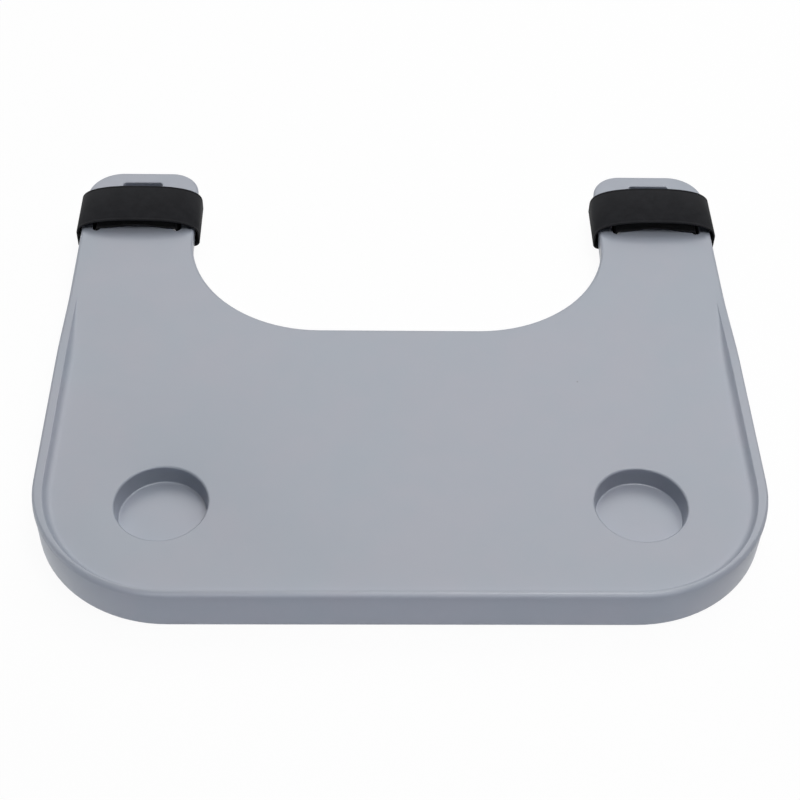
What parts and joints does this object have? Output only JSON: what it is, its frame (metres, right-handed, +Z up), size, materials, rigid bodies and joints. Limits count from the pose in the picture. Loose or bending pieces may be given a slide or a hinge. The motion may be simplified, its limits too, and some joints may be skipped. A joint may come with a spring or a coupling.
{
  "type": "wheelchair tray",
  "caption": "Double-skinned moulded lap tray with a waist cut-out, raised rim, cup recesses and hook-and-loop straps round its arms, for fastening to wheelchair armrests.",
  "frame": {"origin": "under the middle of the tray's bounding box, on the surface that the tray stands on", "axes": "+X to the right across the tray, +Y from the front edge towards the tips of the arms, +Z up"},
  "size_m": [0.6108, 0.514, 0.044],
  "materials": {
    "tray_plastic": "cool grey moulded plastic with a satin, finely grained face",
    "strap_webbing": "black brushed-loop strap webbing",
    "hook_tape": "black moulded hook tape",
    "loop_tape": "black napped loop tape"
  },
  "bodies": {
    "root": {"deck_shell": "tray_plastic", "base_pan": "tray_plastic", "left_strap": "strap_webbing", "right_strap": "strap_webbing", "left_loop_tape": "loop_tape", "right_loop_tape": "loop_tape"},
    "left_flap": {"left_strap_flap": "strap_webbing"},
    "left_flap_tip": {"left_flap_end": "strap_webbing", "left_hook_tape": "hook_tape"},
    "right_flap": {"right_strap_flap": "strap_webbing"},
    "right_flap_tip": {"right_flap_end": "strap_webbing", "right_hook_tape": "hook_tape"}
  },
  "joints": [
    {"name": "left_flap_peel", "type": "hinge", "parent": "root", "child": "left_flap", "pos_m": [-0.1889, 0.198, 0.0265], "axis": [0, 1, 0], "range_deg": [0, 170]},
    {"name": "left_end_peel", "type": "hinge", "parent": "left_flap", "child": "left_flap_tip", "pos_m": [-0.3055, 0.198, 0.0265], "axis": [0, 1, 0], "range_deg": [0, 100]},
    {"name": "right_flap_peel", "type": "hinge", "parent": "root", "child": "right_flap", "pos_m": [0.1889, 0.198, 0.0265], "axis": [0, -1, 0], "range_deg": [0, 170]},
    {"name": "right_end_peel", "type": "hinge", "parent": "right_flap", "child": "right_flap_tip", "pos_m": [0.3055, 0.198, 0.0265], "axis": [0, -1, 0], "range_deg": [0, 100]}
  ]
}
